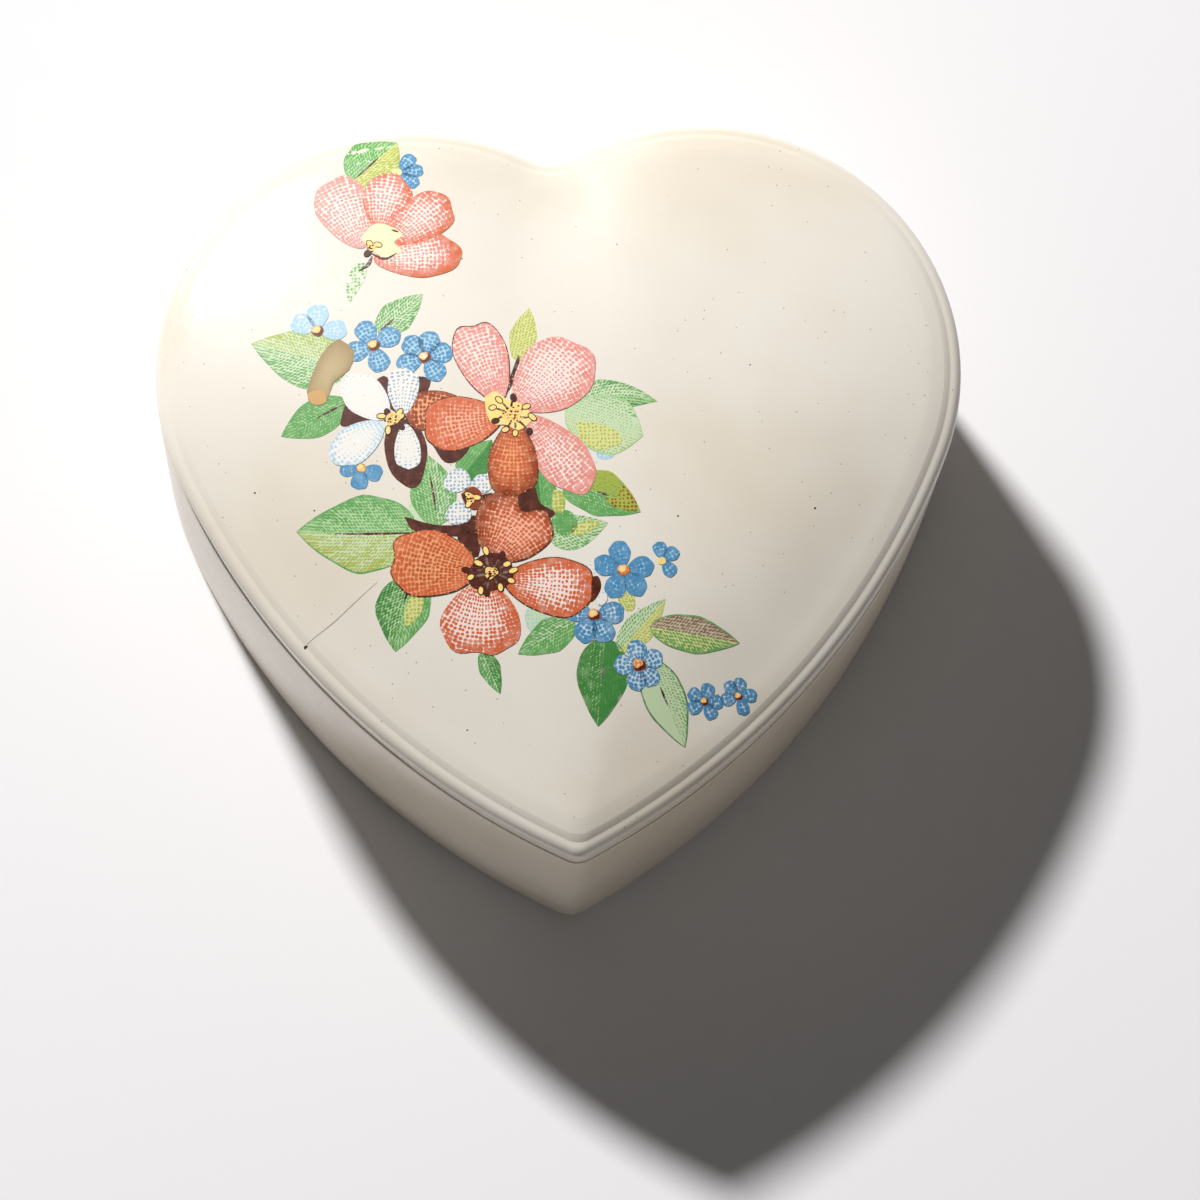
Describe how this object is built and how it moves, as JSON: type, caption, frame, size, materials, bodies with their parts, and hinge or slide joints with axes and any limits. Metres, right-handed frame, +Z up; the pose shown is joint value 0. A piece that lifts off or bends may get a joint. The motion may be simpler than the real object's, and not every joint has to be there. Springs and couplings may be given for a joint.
{
  "type": "heart-shaped trinket box",
  "caption": "Heart-shaped glazed ceramic trinket box with a domed lift-off lid that carries a printed spray of flowers.",
  "frame": {"origin": "centre of the bounding box in plan, at the bottom of the foot ring", "axes": "+Z up, +Y from the tip of the heart towards the notch between the lobes, +X to the right seen from the tip"},
  "size_m": [0.108, 0.1021, 0.0453],
  "materials": {
    "base_glaze": "warm cream clear glaze over slip-cast earthenware, faint streaks, bare foot ring",
    "lid_glaze": "warm cream clear glaze, semi-gloss, fine specks and one hairline crack",
    "floral_print": "fired-on stippled floral transfer in coral, pink, green, blue, yellow and brown inks"
  },
  "bodies": {
    "base": {"base": "base_glaze"},
    "lid": {"lid": "lid_glaze"}
  },
  "joints": [
    {"name": "lid_lift", "type": "slide", "parent": "base", "child": "lid", "axis": [0, 0, 1], "range_m": [0, 0.06]}
  ]
}
